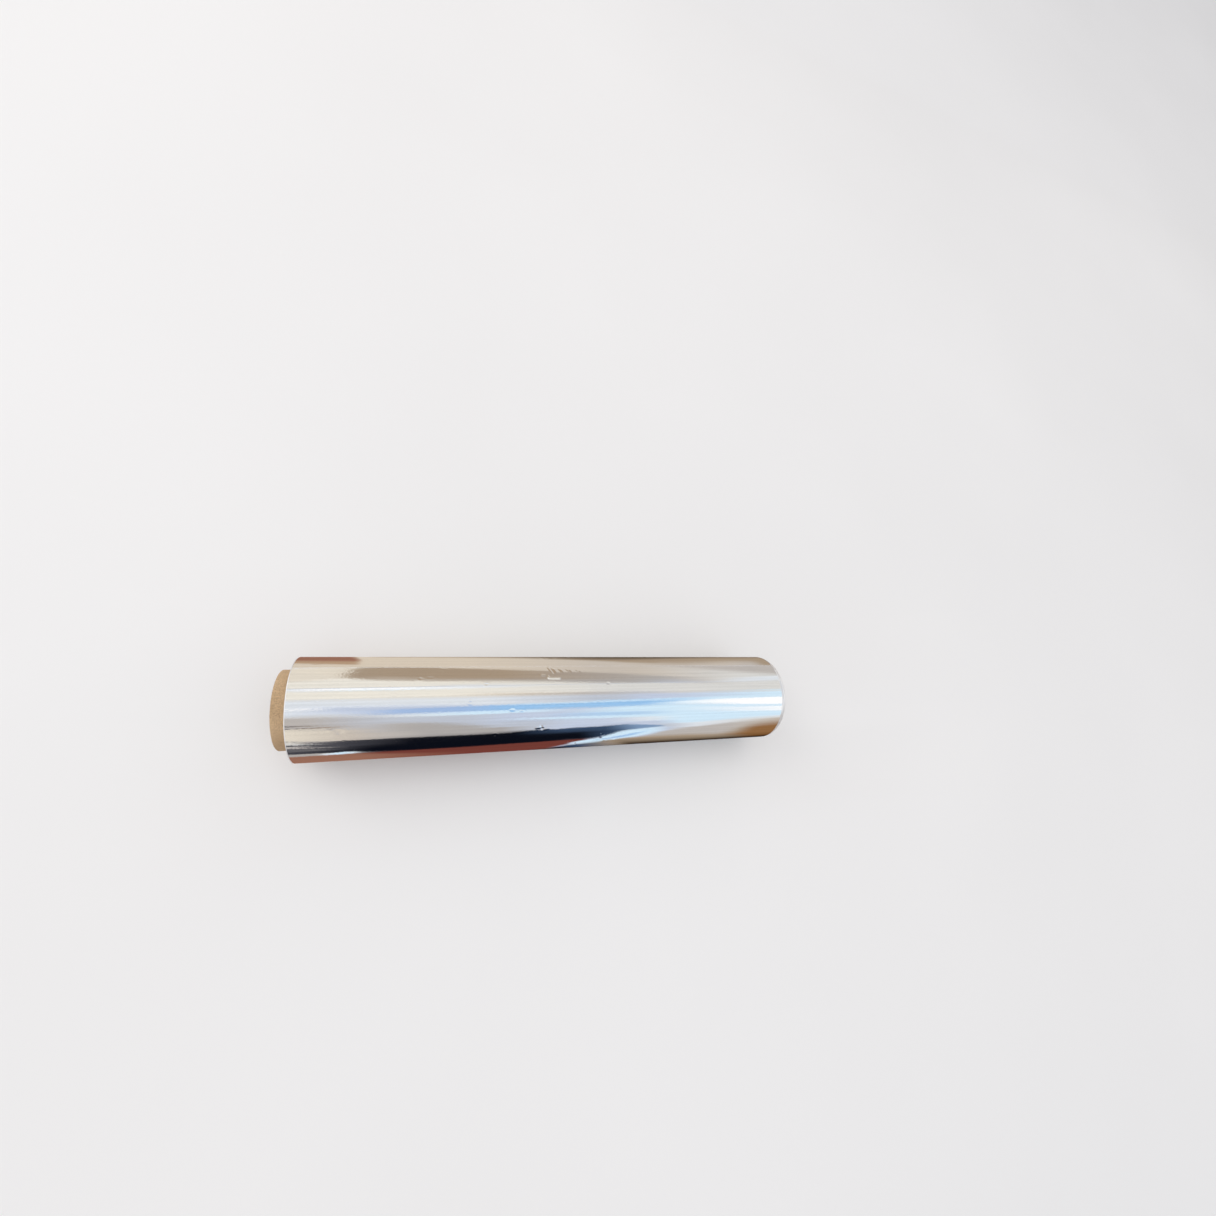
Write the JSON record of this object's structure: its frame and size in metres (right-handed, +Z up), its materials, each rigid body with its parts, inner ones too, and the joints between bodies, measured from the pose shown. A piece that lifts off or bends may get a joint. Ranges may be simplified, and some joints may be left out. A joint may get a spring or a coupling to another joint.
{
  "type": "aluminium foil roll",
  "caption": "Roll of plain kitchen foil wound on a bare paper core that stands out at one end; the core's bore takes a spindle or end plugs, and the roll rests on a small flat.",
  "frame": {"origin": "middle of the flat that the roll rests on, half way along the outer turns", "axes": "+X along the roll's axis, away from the end where the core stands out further; +Y across, towards the back; +Z up"},
  "size_m": [0.312, 0.0582, 0.0577],
  "materials": {
    "core_board": "matt brown wound paper board",
    "foil": "bright rolled foil"
  },
  "bodies": {
    "root": {"core": "core_board", "foil": "foil"}
  },
  "joints": []
}
